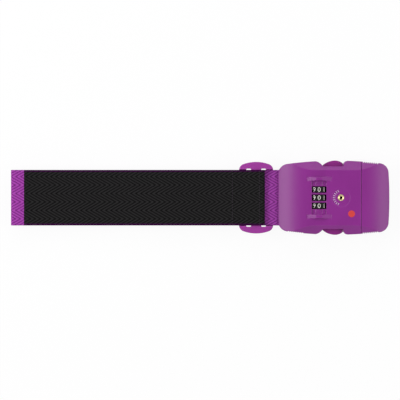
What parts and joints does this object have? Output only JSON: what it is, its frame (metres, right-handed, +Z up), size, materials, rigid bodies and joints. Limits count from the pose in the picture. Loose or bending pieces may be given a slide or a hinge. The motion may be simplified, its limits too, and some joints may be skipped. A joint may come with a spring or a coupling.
{
  "type": "luggage strap",
  "caption": "Adjustable webbing luggage strap, folded flat, with a tri-glide slider and a squeeze-release buckle locked by number dials and a key.",
  "frame": {"origin": "middle of the bounding box, on the table under the strap", "axes": "+X along the strap from the fold to the buckle, +Y across it, +Z up from the table"},
  "size_m": [0.3404, 0.0668, 0.0262],
  "materials": {
    "shell_purple": "satin moulded plastic",
    "slider_purple": "satin moulded plastic",
    "dial_black": "black with white digits",
    "acetal": "natural acetal",
    "steel": "plain steel",
    "brass": "pale brass",
    "webbing": "herringbone weave",
    "print": "printed black, matt"
  },
  "bodies": {
    "lock": {"top_cover": "shell_purple", "bottom_cover": "shell_purple", "lock_pin": "steel", "cover_screws": "steel", "dial_axle": "steel", "detent_leaf": "steel", "plate_spring": "steel", "key_barrel": "brass", "reset_spring": "steel", "webbing_main": "webbing", "webbing_return": "webbing", "webbing_front": "webbing", "print_panel": "print"},
    "tongue": {"tongue_top": "shell_purple", "tongue_bottom": "shell_purple", "tongue_pin": "steel", "tongue_screws": "steel", "webbing_tongue_end": "webbing"},
    "front_prong": {"prong_front": "shell_purple"},
    "rear_prong": {"prong_rear": "shell_purple"},
    "first_dial": {"dial_1": "dial_black", "code_sleeve_1": "brass"},
    "second_dial": {"dial_2": "dial_black", "code_sleeve_2": "brass"},
    "third_dial": {"dial_3": "dial_black", "code_sleeve_3": "brass"},
    "plate": {"lock_plate": "acetal", "gate_feelers": "steel"},
    "key": {"key_plug": "brass", "key_cam": "steel"},
    "reset": {"reset_plunger": "acetal"},
    "adjuster": {"slider": "slider_purple", "webbing_slider_end": "print"}
  },
  "joints": [
    {"name": "tongue_pull", "type": "slide", "parent": "lock", "child": "tongue", "axis": [1, 0, 0], "range_m": [0, 0.05], "deforming": ["prong_front", "prong_rear"]},
    {"name": "prong_front_squeeze", "type": "hinge", "parent": "tongue", "child": "front_prong", "pos_m": [0.1479, -0.026, 0.01165], "axis": [0, 0, -1], "range_deg": [0, 10], "stiffness_Nm_per_rad": 0.05},
    {"name": "prong_rear_squeeze", "type": "hinge", "parent": "tongue", "child": "rear_prong", "pos_m": [0.1479, 0.026, 0.01165], "axis": [0, 0, 1], "range_deg": [0, 10], "stiffness_Nm_per_rad": 0.05},
    {"name": "plate_shift", "type": "slide", "parent": "lock", "child": "plate", "axis": [-1, 0, 0], "range_m": [0, 0.00182], "deforming": ["gate_feelers", "plate_spring"]},
    {"name": "dial_1_spin", "type": "hinge", "parent": "lock", "child": "first_dial", "pos_m": [0.1068, -0.0073, 0.0168], "axis": [0, 1, 0], "continuous": true},
    {"name": "dial_2_spin", "type": "hinge", "parent": "lock", "child": "second_dial", "pos_m": [0.1068, 0, 0.0168], "axis": [0, 1, 0], "continuous": true},
    {"name": "dial_3_spin", "type": "hinge", "parent": "lock", "child": "third_dial", "pos_m": [0.1068, 0.0073, 0.0168], "axis": [0, 1, 0], "continuous": true},
    {"name": "key_turn", "type": "hinge", "parent": "lock", "child": "key", "pos_m": [0.1264, 0, 0.018], "axis": [0, 0, 1], "range_deg": [0, 90]},
    {"name": "slider_adjust", "type": "slide", "parent": "lock", "child": "adjuster", "axis": [-1, 0, 0], "range_m": [0, 0.06], "deforming": ["webbing_front", "print_panel"]},
    {"name": "reset_press", "type": "slide", "parent": "lock", "child": "reset", "axis": [0, 0, 1], "range_m": [0, 0.0015], "stiffness_N_per_m": 200, "deforming": ["reset_spring"]}
  ],
  "couplings": [
    {"joint": "prong_rear_squeeze", "follows": "prong_front_squeeze", "ratio": 1},
    {"joint": "plate_shift", "follows": "prong_front_squeeze", "m_per_rad": 0.010313}
  ]
}
